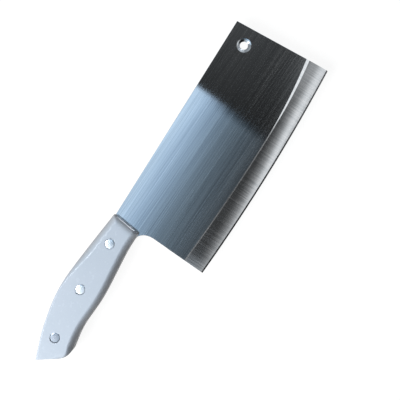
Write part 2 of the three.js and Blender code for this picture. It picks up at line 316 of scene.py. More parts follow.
bpy.ops.mesh.spin(steps=SPIN_STEPS, angle=heel_turn - tip_turn, center=CENTRE * MM, axis=(0, 0, 1))

# Along the blade the bevel narrows and widens again, and toward the tip the steep strip widens too.
mesh = bmesh.from_edit_mesh(blade.data)
for v in mesh.verts:
    spoke = v.co / MM - CENTRE
    width = EDGE_RADIUS - spoke.xy.length
    row = min(range(len(section)), key=lambda k: abs(section[k][0] - width))
    x = BELLY_FORWARD + EDGE_RADIUS * spoke.x / spoke.xy.length
    new_width, new_height = ground_section(x)[row]
    spoke.xy *= (EDGE_RADIUS - new_width) / spoke.xy.length
    v.co = (CENTRE + spoke.xy.to_3d()) * MM
    v.co.z = new_height * MM
bmesh.update_edit_mesh(blade.data)

# The shoulder line is drawn up to the spine, which rises a little to the handle; tip and heel are cut.
pick(blade, "EDGE", lambda p: all(q.z > HALF_SHEET - NEAR for q in p))
push()
bpy.ops.transform.resize(value=(1, 0, 1), center_override=(0, 0, 0))
bpy.ops.transform.rotate(value=math.atan(SPINE_RISE / BLADE_LENGTH), orient_axis="Z",
                         center_override=(BLADE_LENGTH * MM, 0, 0))
tip_foot = Vector((BLADE_LENGTH + TIP_RAKE, edge_height(BLADE_LENGTH + TIP_RAKE)))
cut_off((BLADE_LENGTH, 0), outward_of((BLADE_LENGTH, 0), (BLADE_LENGTH + TIP_RAKE, -BLADE_HEIGHT)))
cut_off((HEEL_FORWARD, 0), outward_of((heel_at(-BLADE_HEIGHT), -BLADE_HEIGHT), (HEEL_FORWARD, 0)))
bpy.ops.object.mode_set(mode="OBJECT")

# The tang is drawn as long as the handle, and the heel sweeps back to it in a short curve.
TANG_INSET = 0.4
TANG_REACH = 0.997
TANG_STEPS = 48
LONG_RIM = 5  # rims taller than this, of tang and heel, are bridged


def tang_rows(back, belly):
    """Shares across the handle of the tang's two rims."""
    inset = TANG_INSET / (back - belly).length
    return (inset, 1 - inset)


tang_stations = [TANG_REACH * k / TANG_STEPS for k in range(TANG_STEPS + 1)]
tang = handle_sheet("tang", handle_rails(tang_stations), tang_rows)
bpy.ops.transform.translate(value=(0, 0, HALF_SHEET * MM))
cut_off((-NECK_BACK, 0), (1, 0))
tang_points = [v.co.xy / MM for v in bmesh.from_edit_mesh(tang.data).verts]
neck_top = min((p for p in tang_points if p.x > -NECK_BACK - NEAR), key=lambda p: p.y)
neck_low = Vector((heel_at(FRONT_FOOT[1] - NECK_SWEEP), FRONT_FOOT[1] - NECK_SWEEP))
knee = Vector((neck_low.x, FRONT_FOOT[1] - NECK_TURN))
neck = round_corner(neck_top, knee, neck_low, NECK_POINTS)
take_up(blade)
bpy.ops.object.mode_set(mode="EDIT")
for point in neck:
    bpy.ops.mesh.select_all(action="SELECT")
    bpy.ops.mesh.bisect(plane_co=(0, point.y * MM, 0), plane_no=(0, 1, 0))
for point in neck[:-1]:
    pick(blade, "VERT", lambda p: abs(p[0].y - point.y) < NEAR and p[0].x < HEEL_FORWARD, rim=True)
    bpy.ops.transform.translate(value=((point.x - heel_at(point.y)) * MM, 0, 0))
take_up(tang)
blade.select_set(True)
bpy.context.view_layer.objects.active = blade
bpy.ops.object.join()
bpy.ops.object.mode_set(mode="EDIT")
pick(blade, "EDGE", lambda p: abs(p[0].y - p[1].y) > LONG_RIM and all(
    -NECK_BACK - NEAR < q.x < heel_at(SPINE_RISE) + NEAR and q.y > neck_top.y - NEAR for q in p), rim=True)
bpy.ops.mesh.bridge_edge_loops()
bpy.ops.mesh.select_all(action="SELECT")
bpy.ops.mesh.remove_doubles(threshold=WELD * MM)

# The tip's lower corner is rounded off, then the rim is drawn down to the mid-plane and the other
# half mirrored on.
FOOT_REACH = 0.5  # the corner point is looked for within this
pick(blade, "VERT", lambda p: (p[0].xy - tip_foot).length < FOOT_REACH)
bpy.ops.mesh.bevel(offset=TIP_CORNER * MM, affect="VERTICES", segments=6, profile=0.5)
turn_faces_out()
select_border()
push()
bpy.ops.transform.resize(value=(1, 1, 0), center_override=(0, 0, 0))
bpy.ops.object.mode_set(mode="OBJECT")
apply_modifier(blade, "MIRROR", use_axis=(False, False, True), merge_threshold=WELD * MM)

# The hanging hole is punched near the tip and countersunk from both sides, in a shallow dish.
HOLE_PLACE = Vector((158.5, -14.1))
HOLE_SIDES = 72
HOLE_RADIUS = 3.05
HOLE_LAND = 0.24
SINK_RADIUS = 4.55
DISH_RADIUS = 5.5
DISH_DEPTH = 0.19
hole_centre = HOLE_PLACE.to_3d() * MM
bpy.ops.object.select_all(action="DESELECT")
bpy.ops.mesh.primitive_cylinder_add(vertices=HOLE_SIDES, radius=HOLE_RADIUS * MM, depth=HOLE_LAND * MM,
                                    location=hole_centre)
bpy.ops.object.transform_apply(location=True)
punch = start_piece("hole_punch")
sink_rings = [(SINK_RADIUS, HALF_SHEET - DISH_DEPTH), (DISH_RADIUS, HALF_SHEET)]
for side in (1, -1):
    pick(punch, "FACE", lambda p: all(q.z * side > NEAR for q in p))
    draw_rings(HOLE_RADIUS, HOLE_LAND / 2, sink_rings, hole_centre, side)
    push(z=side * CLEAR)
bpy.ops.object.mode_set(mode="OBJECT")

# Rivet holes: a shank hole through tang and scales, with a seat for the head in each scale.
TOP_FACE = 9.7
HEAD_SEAT = 7.85
HEAD_RADIUS = 3.7
SHANK_RADIUS = 2.5
RIVET_FIT = 0.1
SEAT_GAP = 0.05
RIVET_SIDES = 64
RIVET_NAMES = ("neck", "middle", "butt")
rivet_places = []
for where in RIVET_NAMES:
    low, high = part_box(where + "_rivet_sleeve")
    rivet_places.append(((Vector(low) + Vector(high)) / 2 - HANDLE_FRONT).xy / MM)
shank_hole = SHANK_RADIUS + RIVET_FIT
seat_hole = HEAD_RADIUS + RIVET_FIT
seat_floor = HEAD_SEAT - SEAT_GAP
drill_length = HEAD_SEAT + TOP_FACE
drills = []
for place in rivet_places:
    bpy.ops.object.select_all(action="DESELECT")
    bpy.ops.mesh.primitive_cylinder_add(vertices=RIVET_SIDES, radius=shank_hole * MM,
                                        depth=drill_length * MM,
                                        location=Vector((*place, seat_floor - drill_length / 2)) * MM)
    bpy.ops.object.transform_apply(location=True)
    drill = start_piece("rivet_drill")
    pick(drill, "FACE", lambda p: all(q.z > 0 for q in p))
    draw_rings(shank_hole, seat_floor, [(seat_hole, seat_floor)], place.to_3d() * MM, 1)
    push(z=TOP_FACE - HEAD_SEAT + CLEAR)
    bpy.ops.object.mode_set(mode="OBJECT")
    drills.append(drill)
take_up(blade)
for cutter in (punch, *drills):
    apply_modifier(blade, "BOOLEAN", operation="DIFFERENCE", solver="EXACT", object=cutter)
bpy.data.objects.remove(punch)

# The stamped rim is eased along spine, tip, heel and neck, and the lines of grind and hole stay crisp.
RIM_EASE = 0.2
RIM_BEND = 1.2  # a rim bends more than this, in radians
GRIND_TOP = -60  # the grind lies below this height
HOLE_ZONE = DISH_RADIUS + 1
HOLE_CREASE = 10  # bends, in degrees, from which a line shows
GRIND_CREASE = 2.5
RIM_CREASE = 40
SMOOTH_ANGLE = math.radians(35)
bpy.ops.object.mode_set(mode="EDIT")
pick(blade, "EDGE", lambda p: all(
    q.x > -NECK_BACK + RIM_EASE and q.y > GRIND_TOP and abs(q.z) > HALF_SHEET - NEAR
    and (q.xy - HOLE_PLACE).length > HOLE_ZONE for q in p))
mesh = bmesh.from_edit_mesh(blade.data)
for edge in mesh.edges:
    if edge.select and (len(edge.link_faces) != 2 or edge.calc_face_angle() < RIM_BEND):
        edge.select_set(False)
bpy.ops.mesh.bevel(offset=RIM_EASE * MM, segments=2, profile=0.5)
mesh = bmesh.from_edit_mesh(blade.data)
for edge in mesh.edges:
    if len(edge.link_faces) == 2:
        bend = math.degrees(edge.calc_face_angle())
        near_hole = (edge.verts[0].co.xy / MM - HOLE_PLACE).length < HOLE_ZONE
        edge.smooth = bend < HOLE_CREASE if near_hole else bend < GRIND_CREASE or bend > RIM_CREASE
bmesh.update_edit_mesh(blade.data)
bpy.ops.object.mode_set(mode="OBJECT")
bpy.ops.object.shade_smooth_by_angle(angle=SMOOTH_ANGLE, keep_sharp_edges=True)
set_in_place(blade)


def colour(code):
    """An sRGB hex colour as the linear one that a socket takes."""
    parts = [int(code[i:i + 2], 16) / 255 for i in (1, 3, 5)]
    return [*(c / 12.92 if c <= 0.04045 else ((c + 0.055) / 1.055) ** 2.4 for c in parts), 1.0]


def new_finish(name, **sockets):
    """A material with its shader's plain sockets set; returns it with its tree and its shader."""
    finish = bpy.data.materials.new(name)
    finish.use_nodes = True
    tree = finish.node_tree
    shader = tree.nodes["Principled BSDF"]
    for socket, value in sockets.items():
        shader.inputs[socket.replace("_", " ")].default_value = value
    return finish, tree, shader


def node(tree, kind, settings=None, **inputs):
    """Adds a node with its settings, and sets or links its inputs: _0, _1 by number, others by name."""
    added = tree.nodes.new("ShaderNode" + kind)
    for key, value in (settings or {}).items():
        setattr(added, key, value)
    for key, value in inputs.items():
        socket = added.inputs[int(key[1:]) if key[1:].isdigit() else key.replace("_", " ")]
        if isinstance(value, bpy.types.NodeSocket):
            tree.links.new(value, socket)
        else:
            socket.default_value = value
    return added


def link(tree, shader, **sockets):
    """Links outputs of nodes to the shader's sockets."""
    for socket, output in sockets.items():
        tree.links.new(output, shader.inputs[socket.replace("_", " ")])


# Brushed stainless: an abrasive belt run along the blade leaves fine parallel lines, so what the face
# mirrors is drawn out across them and stays sharp along them. The belt ran a little aslant. Lines are
# drawn 1 mm apart to show, over bands of 5 mm.
STREAK_LENGTH = 90
STREAK_WIDTH = 1
STREAK_DEPTH = 0.012
BAND_LENGTH = 160
BAND_WIDTH = 5
BAND_SHARE = 0.3
BELT_SLANT = (0, 0, math.radians(-2.3))
COLOURS = {"data_type": "RGBA"}
STRETCHED = {"vector_type": "TEXTURE"}
NOISE_RANGE = {"From_Min": 0.3, "From_Max": 0.7}  # where most of a noise lies
brushed, tree, shader = new_finish("stainless_brushed_along", Metallic=1.0, Anisotropic=1.0)
place = node(tree, "TexCoord").outputs["Object"]
fine = node(tree, "Mapping", STRETCHED, Vector=place, Rotation=BELT_SLANT,
            Scale=Vector((STREAK_LENGTH, STREAK_WIDTH, STREAK_LENGTH)) * MM).outputs[0]
streaks = node(tree, "TexNoise", Vector=fine, Scale=1.0, Detail=3.0, Roughness=0.6).outputs[0]
broad = node(tree, "Mapping", STRETCHED, Vector=place, Rotation=BELT_SLANT,
             Scale=Vector((BAND_LENGTH, BAND_WIDTH, BAND_LENGTH)) * MM).outputs[0]
bands = node(tree, "TexNoise", Vector=broad, Scale=1.0, Detail=2.0, Roughness=0.5).outputs[0]
both = node(tree, "Mix", Factor=BAND_SHARE, A=streaks, B=bands).outputs[0]
spread = node(tree, "MapRange", Value=both, **NOISE_RANGE).outputs[0]
steel = node(tree, "Mix", COLOURS, Factor=spread, _6=colour("#B0B7BD"), _7=colour("#DDE3E7")).outputs[2]
rough = node(tree, "MapRange", Value=streaks, **NOISE_RANGE, To_Min=0.07, To_Max=0.1).outputs[0]
across = node(tree, "Tangent", {"direction_type": "RADIAL", "axis": "X"}).outputs[0]
grooves = node(tree, "Bump", Strength=1.0, Distance=STREAK_DEPTH * MM, Height=streaks).outputs[0]
link(tree, shader, Base_Color=steel, Roughness=rough, Tangent=across, Normal=grooves)

# Ground stainless: the wheel that thins the blade to its edge runs square to it, so its marks do too.
# They are drawn 0.6 mm apart to show.
MARK_WIDTH = 0.6
MARK_LENGTH = 30
ground, tree, shader = new_finish("stainless_ground_across", Metallic=1.0, Anisotropic=0.7)
place = node(tree, "TexCoord").outputs["Object"]
fine = node(tree, "Mapping", STRETCHED, Vector=place,
            Scale=Vector((MARK_WIDTH, MARK_LENGTH, MARK_LENGTH)) * MM).outputs[0]
marks = node(tree, "TexNoise", Vector=fine, Scale=1.0, Detail=1.0, Roughness=0.5).outputs[0]
spread = node(tree, "MapRange", Value=marks, **NOISE_RANGE).outputs[0]
steel = node(tree, "Mix", COLOURS, Factor=spread, _6=colour("#C1C6CA"), _7=colour("#DADDE0")).outputs[2]
rough = node(tree, "MapRange", Value=marks, **NOISE_RANGE, To_Min=0.09, To_Max=0.13).outputs[0]
along = node(tree, "Tangent", {"direction_type": "RADIAL", "axis": "Y"}).outputs[0]
link(tree, shader, Base_Color=steel, Roughness=rough, Tangent=along)

# Honed stainless: the narrow facets of the edge, drawn over a fine stone, nearly polished. The marks of
# the stone are drawn 0.9 mm apart to show.
HONE_WIDTH = 0.9
HONE_LENGTH = 4
honed, tree, shader = new_finish("stainless_honed", Metallic=1.0)
place = node(tree, "TexCoord").outputs["Object"]
fine = node(tree, "Mapping", STRETCHED, Vector=place,
            Scale=Vector((HONE_WIDTH, HONE_LENGTH, HONE_LENGTH)) * MM).outputs[0]
marks = node(tree, "TexNoise", Vector=fine, Scale=1.0, Detail=2.0).outputs[0]
steel = node(tree, "Mix", COLOURS, Factor=marks, _6=colour("#B9BDC0"), _7=colour("#DADDDF")).outputs[2]
rough = node(tree, "MapRange", Value=marks, To_Min=0.15, To_Max=0.25).outputs[0]
link(tree, shader, Base_Color=steel, Roughness=rough)

# Punched stainless: the countersink keeps the dull grey of the press tool, which no belt reaches, with
# pits of about 0.8 mm.
PIT_WIDTH = 0.8
punched, tree, shader = new_finish("stainless_punched", Metallic=1.0)
place = node(tree, "TexCoord").outputs["Object"]
pits = node(tree, "TexNoise", Vector=place, Scale=1 / (PIT_WIDTH * MM), Detail=3.0).outputs[0]
steel = node(tree, "Mix", COLOURS, Factor=pits, _6=colour("#90969A"), _7=colour("#A8ADB1")).outputs[2]
rough = node(tree, "MapRange", Value=pits, To_Min=0.1, To_Max=0.2).outputs[0]
link(tree, shader, Base_Color=steel, Roughness=rough)

BEVEL_FACING = 0.8  # the grind's faces look up or down at least this much
SHOULDER_MARGIN = 0.02
steel_finishes = [brushed, ground, honed, punched]
for finish in steel_finishes:
    blade.data.materials.append(finish)
for face in blade.data.polygons:
    spot = (face.center - HANDLE_FRONT) / MM
    from_edge = EDGE_RADIUS - (spot - CENTRE).xy.length
    finish = brushed
    if abs(face.normal.z) > BEVEL_FACING and from_edge < bevel_at(spot.x) - SHOULDER_MARGIN:
        finish = honed if from_edge < HONED_WIDTH else ground
    elif (spot.xy - HOLE_PLACE).length < SINK_RADIUS:
        finish = punched
    face.material_index = steel_finishes.index(finish)
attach(blade, "root")
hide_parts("blade")

# HANDLE SCALES
# Two halves of white moulded plastic, ABS or the like, one on each side of the tang. Each is flat
# outside, with a slope along its back for the thumb that narrows to the rear, a steeper one along its
# belly for the fingers, and rounded ends; seats for the rivet heads are moulded in.
BACK_WIDTH = 5.6
BACK_WIDTH_REAR = 1.2
BACK_FADE = 30
BACK_FADED = 72
BACK_STEEPNESS = 0.7
BELLY_WIDTH = 4.8
BELLY_STEEPNESS = 1.15
SLOPE_CURVE = 2
SLOPE_ROWS = 12
SLOPE_CROWDING = 1.6
FLAT_ROWS = [0.3, 0.4, 0.5, 0.6, 0.7]
FRONT_ROUND = 6
FRONT_STEEPNESS = 0.5
BUTT_ROUND = 1
END_STEPS = 8
LONG_STEPS = 100
SEAT_EASE = 0.25
SEAT_ZONE = HEAD_RADIUS + 0.3
SCALE_SMOOTH_ANGLE = math.radians(40)


def eased(start, end, value):
    """0 before the start, 1 past the end, and a soft rise between them."""
    share = min(max((value - start) / (end - start), 0), 1)
    return share * share * (3 - 2 * share)


def back_width_at(x):
    return BACK_WIDTH + (BACK_WIDTH_REAR - BACK_WIDTH) * eased(BACK_FADE, BACK_FADED, -x)


def belly_width_at(x):
    return BELLY_WIDTH + (BUTT_ROUND - BELLY_WIDTH) * eased(-beak_start.x, -beak_end.x, -x)


def sloped(width, steepness, distance):
    """How far a slope of that width has fallen at a distance from its rim."""
    return width * steepness * max(1 - distance / width, 0) ** SLOPE_CURVE


def distance_to(line, point):
    """Distance of a point from a line of points."""
    nearest = math.inf
    for a, b in zip(line, line[1:]):
        along = b - a
        share = min(max((point - a).dot(along) / along.length_squared, 0), 1)
        nearest = min(nearest, (a + along * share - point).length)
    return nearest


def scale_rows(back, belly):
    """Shares across the scale, closest together where its slopes meet the flat."""
    width = (back - belly).length
    steps = [1 - (1 - k / SLOPE_ROWS) ** SLOPE_CROWDING for k in range(SLOPE_ROWS + 1)]
    back_rows = [s * back_width_at(back.x) / width for s in steps]
    belly_rows = [1 - s * belly_width_at(belly.x) / width for s in reversed(steps)]
    return back_rows + FLAT_ROWS + belly_rows


ends = [1 - math.cos(math.pi / 2 * k / END_STEPS) for k in range(END_STEPS + 1)]
front_reach = FRONT_ROUND / length_of(back_line)
butt_reach = 2 * BUTT_ROUND / length_of(back_line)
stations = [e * front_reach for e in ends]
stations += [front_reach + (1 - front_reach - butt_reach) * k / LONG_STEPS for k in range(1, LONG_STEPS)]
stations += [1 - e * butt_reach for e in reversed(ends)]
rails = handle_rails(stations)
upper = handle_sheet("upper_scale_half", rails, scale_rows)
sparse_rails = rails[:END_STEPS] + rails[END_STEPS::2]
back_rail = [back for back, belly in sparse_rails]
belly_rail = [belly for back, belly in sparse_rails]
dome = bmesh.from_edit_mesh(upper.data)
for v in dome.verts:
    point = v.co.xy / MM
    fall = max(sloped(back_width_at(point.x), BACK_STEEPNESS, distance_to(back_rail, point)),
               sloped(belly_width_at(point.x), BELLY_STEEPNESS, distance_to(belly_rail, point)),
               FRONT_STEEPNESS * rounded(FRONT_ROUND, distance_to(rails[0], point)),
               rounded(BUTT_ROUND, distance_to(rails[-1], point)))
    v.co.z = (TOP_FACE - fall) * MM
bmesh.update_edit_mesh(upper.data)
select_border()
push()
bpy.ops.transform.resize(value=(1, 1, 0), center_override=(0, 0, HALF_SHEET * MM))
bpy.ops.mesh.edge_face_add()
turn_faces_out()
bpy.ops.object.mode_set(mode="OBJECT")
for drill in drills:
    apply_modifier(upper, "BOOLEAN", operation="DIFFERENCE", solver="EXACT", object=drill)
    bpy.data.objects.remove(drill)

# The rims of the rivet seats are broken a little.
bpy.ops.object.mode_set(mode="EDIT")
pick(upper, "EDGE", lambda p: all(q.z > TOP_FACE - NEAR and min(
    (q.xy - place).length for place in rivet_places) < SEAT_ZONE for q in p))
bpy.ops.mesh.bevel(offset=SEAT_EASE * MM, segments=2, profile=0.5)
bpy.ops.object.mode_set(mode="OBJECT")
bpy.ops.object.shade_smooth_by_angle(angle=SCALE_SMOOTH_ANGLE)
apply_modifier(upper, "WEIGHTED_NORMAL", keep_sharp=True)
set_in_place(upper)

# White ABS, moulded: a cool white with a soft gloss, faintly uneven over some 30 mm, with scuffs of
# about 4 mm from use, and painted shade: grey where the slopes fall away to the tang.
CLOUD_WIDTH = 30
SCUFF_WIDTH = 4
SCUFF_DEPTH = 0.004
PAINTED_SHADE_FROM = TOP_FACE - 0.1
PAINTED_SHADE_TO = TOP_FACE - 6
PAINTED_SHADE_CURVE = 0.6
plastic, tree, shader = new_finish("abs_white_moulded", IOR=1.52)
place = node(tree, "TexCoord").outputs["Object"]
cloudy = node(tree, "TexNoise", Vector=place, Scale=1 / (CLOUD_WIDTH * MM), Detail=3.0,
              Roughness=0.55).outputs[0]
clean = node(tree, "Mix", COLOURS, Factor=cloudy, _6=colour("#C8D7E5"), _7=colour("#D1DCEB")).outputs[2]
# Painted shade: the white turns grey as the surface falls from the flat top down to the tang.
height = node(tree, "SeparateXYZ", _0=place).outputs[2]
offset = node(tree, "Math", {"operation": "SUBTRACT"}, _0=height, _1=HANDLE_FRONT.z).outputs[0]
from_middle = node(tree, "Math", {"operation": "ABSOLUTE"}, _0=offset).outputs[0]
fallen = node(tree, "MapRange", Value=from_middle, From_Min=PAINTED_SHADE_FROM * MM, From_Max=PAINTED_SHADE_TO * MM).outputs[0]
painted_slope_shade = node(tree, "Math", {"operation": "POWER"}, _0=fallen, _1=PAINTED_SHADE_CURVE).outputs[0]
white = node(tree, "Mix", COLOURS, Factor=painted_slope_shade, _6=clean, _7=colour("#B0B2B5")).outputs[2]
scuffs = node(tree, "TexNoise", Vector=place, Scale=1 / (SCUFF_WIDTH * MM), Detail=5.0,
              Roughness=0.65).outputs[0]
rough = node(tree, "MapRange", Value=scuffs, **NOISE_RANGE, To_Min=0.2, To_Max=0.3).outputs[0]
skin = node(tree, "Bump", Strength=1.0, Distance=SCUFF_DEPTH * MM, Height=scuffs).outputs[0]
link(tree, shader, Base_Color=white, Roughness=rough, Normal=skin)
upper.data.materials.append(plastic)

bpy.ops.object.duplicate()
lower = bpy.context.object
lower.name = lower.data.name = "lower_scale_half"
bpy.ops.transform.mirror(constraint_axis=(False, False, True), center_override=HANDLE_FRONT)
bpy.ops.object.transform_apply(location=True, rotation=True, scale=True)
bpy.ops.object.mode_set(mode="EDIT")
turn_faces_out()
bpy.ops.object.mode_set(mode="OBJECT")
for scale, cad in ((upper, "upper_scale"), (lower, "lower_scale")):
    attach(scale, "root")
    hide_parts(cad)

# RIVETS
# Three two-piece compression rivets of aluminium: a tube with a head goes in from above, and a pin
# with a like head is driven up into it from below. Their heads are turned and slightly domed.
HEAD_RIM = 9.35
HEAD_DOME = 0.25
HEAD_EASE = 0.2
HEAD_EASE_MIDDLE = 0.06
DOME_RINGS = (0.85, 0.7, 0.5, 0.3, 0.1)
PIN_RADIUS = 1.5
SLEEVE_END = -5.1
SLEEVE_FLOOR = 0.3
PIN_END = HEAD_SEAT - 0.6


def rivet_head(name, side):
    """A round head on its seat at the neck rivet's place, outward to that side, in edit mode with the
    face on its seat selected."""
    centre = rivet_places[0].to_3d() * MM
    bpy.ops.object.select_all(action="DESELECT")
    bpy.ops.mesh.primitive_circle_add(vertices=RIVET_SIDES, radius=HEAD_RADIUS * MM, fill_type="NGON",
                                      location=centre + Vector((0, 0, side * HEAD_SEAT * MM)))
    bpy.ops.object.transform_apply(location=True)
    half = start_piece(name)
    rings = [(HEAD_RADIUS, HEAD_RIM - HEAD_EASE),
             (HEAD_RADIUS - HEAD_EASE_MIDDLE, HEAD_RIM - HEAD_EASE_MIDDLE),
             (HEAD_RADIUS - HEAD_EASE, HEAD_RIM)]
    rings += [(HEAD_RADIUS * r, HEAD_RIM + HEAD_DOME * (1 - r * r)) for r in DOME_RINGS]
    draw_rings(HEAD_RADIUS, HEAD_SEAT, rings, centre, side)
    pick(half, "FACE", lambda p: len(p) == RIVET_SIDES and all(abs(q.z) < HEAD_SEAT + NEAR for q in p))
    return half


def finish_rivet(half):
    """Turns the faces of a rivet's half outward, smooths it and sets it in its place."""
    turn_faces_out()
    bpy.ops.object.mode_set(mode="OBJECT")
    bpy.ops.object.shade_smooth_by_angle(angle=SMOOTH_ANGLE)
    set_in_place(half)


sleeve = rivet_head("neck_rivet_sleeve_half", 1)
bpy.ops.mesh.inset(thickness=(HEAD_RADIUS - SHANK_RADIUS) * MM)
push(z=SLEEVE_END - HEAD_SEAT)
bpy.ops.mesh.inset(thickness=(SHANK_RADIUS - PIN_RADIUS - RIVET_FIT) * MM)
push(z=HEAD_SEAT - SLEEVE_END - SLEEVE_FLOOR)
finish_rivet(sleeve)
pin = rivet_head("neck_rivet_pin_half", -1)
bpy.ops.mesh.inset(thickness=(HEAD_RADIUS - PIN_RADIUS) * MM)
push(z=PIN_END + HEAD_SEAT)
finish_rivet(pin)

# Aluminium, turned: bright, with a soft sheen and a little dulling from use, in scuffs of 0.7 mm.
TURNED_SCUFF = 0.7
aluminium, tree, shader = new_finish("aluminium_turned", Metallic=1.0)
place = node(tree, "TexCoord").outputs["Object"]
scuffs = node(tree, "TexNoise", Vector=place, Scale=1 / (TURNED_SCUFF * MM), Detail=2.0).outputs[0]
metal = node(tree, "Mix", COLOURS, Factor=scuffs, _6=colour("#CAD2DA"), _7=colour("#D2DAE2")).outputs[2]
rough = node(tree, "MapRange", Value=scuffs, **NOISE_RANGE, To_Min=0.26, To_Max=0.28).outputs[0]
link(tree, shader, Base_Color=metal, Roughness=rough)

# Aluminium, duller: the butt's rivet is smoother and darker, with scuffs of 1.2 mm, and painted shade
# in a ring toward its rim, standing for the shaded gap round its head.
RUBBED_SCUFF = 1.2
RIM_SHADE_FROM = 1.6
RIM_SHADE_TO = 3
SOFT = {"interpolation_type": "SMOOTHSTEP"}
dulled, tree, shader = new_finish("aluminium_dull_shaded_rim", Metallic=1.0)
place = node(tree, "TexCoord").outputs["Object"]
scuffs = node(tree, "TexNoise", Vector=place, Scale=1 / (RUBBED_SCUFF * MM), Detail=4.0).outputs[0]
rubbed = node(tree, "Mix", COLOURS, Factor=scuffs, _6=colour("#A1A9B3"), _7=colour("#B0B6C0")).outputs[2]
flat = node(tree, "Mapping", Vector=place, Scale=(1, 1, 0)).outputs[0]
middle = (HANDLE_FRONT.xy + rivet_places[-1] * MM).to_3d()
from_middle = node(tree, "VectorMath", {"operation": "DISTANCE"}, _0=flat, _1=middle).outputs["Value"]
# Painted shade: the colour darkens from 1.6 mm out from the rivet's centre to 3 mm, and stays dark to the
# rim.
painted_rim_shade = node(tree, "MapRange", SOFT, Value=from_middle, From_Min=RIM_SHADE_FROM * MM,
             From_Max=RIM_SHADE_TO * MM).outputs[0]
metal = node(tree, "Mix", COLOURS, Factor=painted_rim_shade, _6=rubbed, _7=colour("#9FA8B3")).outputs[2]
rough = node(tree, "MapRange", Value=scuffs, **NOISE_RANGE, To_Min=0.16, To_Max=0.22).outputs[0]
link(tree, shader, Base_Color=metal, Roughness=rough)

for half, kind in ((sleeve, "sleeve"), (pin, "pin")):
    half.data.materials.append(aluminium)
    for where, spot in zip(RIVET_NAMES, rivet_places):
        rivet = half
        if where != "neck":
            take_up(half)
            bpy.ops.object.duplicate()
            rivet = bpy.context.object
            rivet.name = rivet.data.name = where + "_rivet_" + kind + "_half"
            bpy.ops.transform.translate(value=(spot - rivet_places[0]).to_3d() * MM)
            bpy.ops.object.transform_apply(location=True)
        if where == "butt":
            rivet.data.materials[0] = dulled
        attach(rivet, "root")
        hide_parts(where + "_rivet_" + kind)

# TABLE
# A plain white table top under the knife. It shows white to the eye and in mirrors, keeps the knife's
# soft shadow, and throws only a little light back up.
TABLE_SIZE = 6  # sizes and places of what stands round the knife are in metres
TABLE_GLOW = 1.12
TABLE_SHADE = 0.18  # share of the table's white that takes shadow
LARGER = {"operation": "MAXIMUM"}


def seen_directly(tree):
    """1 where the eye, a mirror or a clear piece looks at a surface, and 0 where light only bounces."""
    rays = node(tree, "LightPath").outputs
    mirrored = node(tree, "Math", LARGER, _0=rays["Is Camera Ray"], _1=rays["Is Glossy Ray"]).outputs[0]
    return node(tree, "Math", LARGER, _0=mirrored, _1=rays["Is Transmission Ray"]).outputs[0]


bpy.ops.object.select_all(action="DESELECT")
bpy.ops.mesh.primitive_plane_add(size=TABLE_SIZE)
table = bpy.context.object
table.name = "table"
paper, tree, shader = new_finish("paper_white_matt", Roughness=0.9, Base_Color=colour("#343434"))
glow = node(tree, "Emission", Color=colour("#FFFFFF"), Strength=TABLE_GLOW).outputs[0]
shade = node(tree, "BsdfDiffuse", Color=colour("#FFFFFF")).outputs[0]
lit = node(tree, "MixShader", Fac=TABLE_SHADE, _1=glow, _2=shade).outputs[0]
mixed = node(tree, "MixShader", Fac=seen_directly(tree), _1=shader.outputs[0], _2=lit).outputs[0]
tree.links.new(mixed, tree.nodes["Material Output"].inputs["Surface"])
table.data.materials.append(paper)

# OVERHEAD SCREEN
# A screen hung level over the knife, which stands for the room and is seen only in polished faces: a
# blue-white sky over the blade, a dark cloth over the tip, a white panel beyond the edge, a pale wing
# over the handle with a lamp on its far side, and a grey ceiling round them.
SCREEN_SIZE = 4
SCREEN_HEIGHT = 0.4097
TIMES = {"operation": "MULTIPLY"}
TIMES_PLUS = {"operation": "MULTIPLY_ADD"}
SHADED = {"data_type": "RGBA", "blend_type": "MULTIPLY"}


def show_in_mirrors(sheet, name):
    """Hides a sheet from all but mirrors; returns the tree of a new material on it, with no shader."""
    for ray in ("visible_camera", "visible_diffuse", "visible_shadow", "visible_transmission"):
        setattr(sheet, ray, False)
    finish, tree, shader = new_finish(name)
    tree.nodes.remove(shader)
    sheet.data.materials.append(finish)
    return tree


def set_stops(ramp, stops):
    """Gives a ramp its stops, each a place and the light there."""
    elements = ramp.color_ramp.elements
    while len(elements) < len(stops):
        elements.new(0.5)
    for element, (at, light) in zip(elements, stops):
        element.position = at
        element.color = (*light, 1)


bpy.ops.object.select_all(action="DESELECT")
bpy.ops.mesh.primitive_plane_add(size=SCREEN_SIZE, location=(0, 0, SCREEN_HEIGHT))
bpy.ops.object.transform_apply(location=True)
screen = bpy.context.object
screen.name = "overhead_screen"
tree = show_in_mirrors(screen, "screen_panel")
place = node(tree, "TexCoord").outputs["Object"]
axes = node(tree, "SeparateXYZ", _0=place)
span, rise = axes.outputs[0], axes.outputs[1]

# The sky: its bands follow the spine, and its dim low part is a little brighter toward the handle.
SKY_FOOT, SKY_TOP = -0.06, 0.10
SKY_STOPS = [(0.12, (0.095, 0.108, 0.12)), (0.17, (0.09, 0.108, 0.122)), (0.30, (0.115, 0.146, 0.174)),
             (0.38, (0.162, 0.209, 0.248)), (0.455, (0.19, 0.248, 0.298)), (0.53, (0.233, 0.315, 0.395)),
             (0.605, (0.30, 0.412, 0.53)), (0.68, (0.40, 0.555, 0.74)), (0.7425, (0.55, 0.735, 0.97)),
             (0.80, (0.68, 0.89, 1.15)), (0.86, (0.72, 0.95, 1.19)), (0.90, (0.91, 1.09, 1.27))]
sky_height = node(tree, "MapRange", Value=rise, From_Min=SKY_FOOT, From_Max=SKY_TOP).outputs[0]
sky_bands = node(tree, "ValToRGB", Fac=sky_height)
set_stops(sky_bands, SKY_STOPS)
low_part = node(tree, "MapRange", Value=rise, From_Min=0.085, From_Max=0.0,
                To_Min=-0.6, To_Max=1.0).outputs[0]
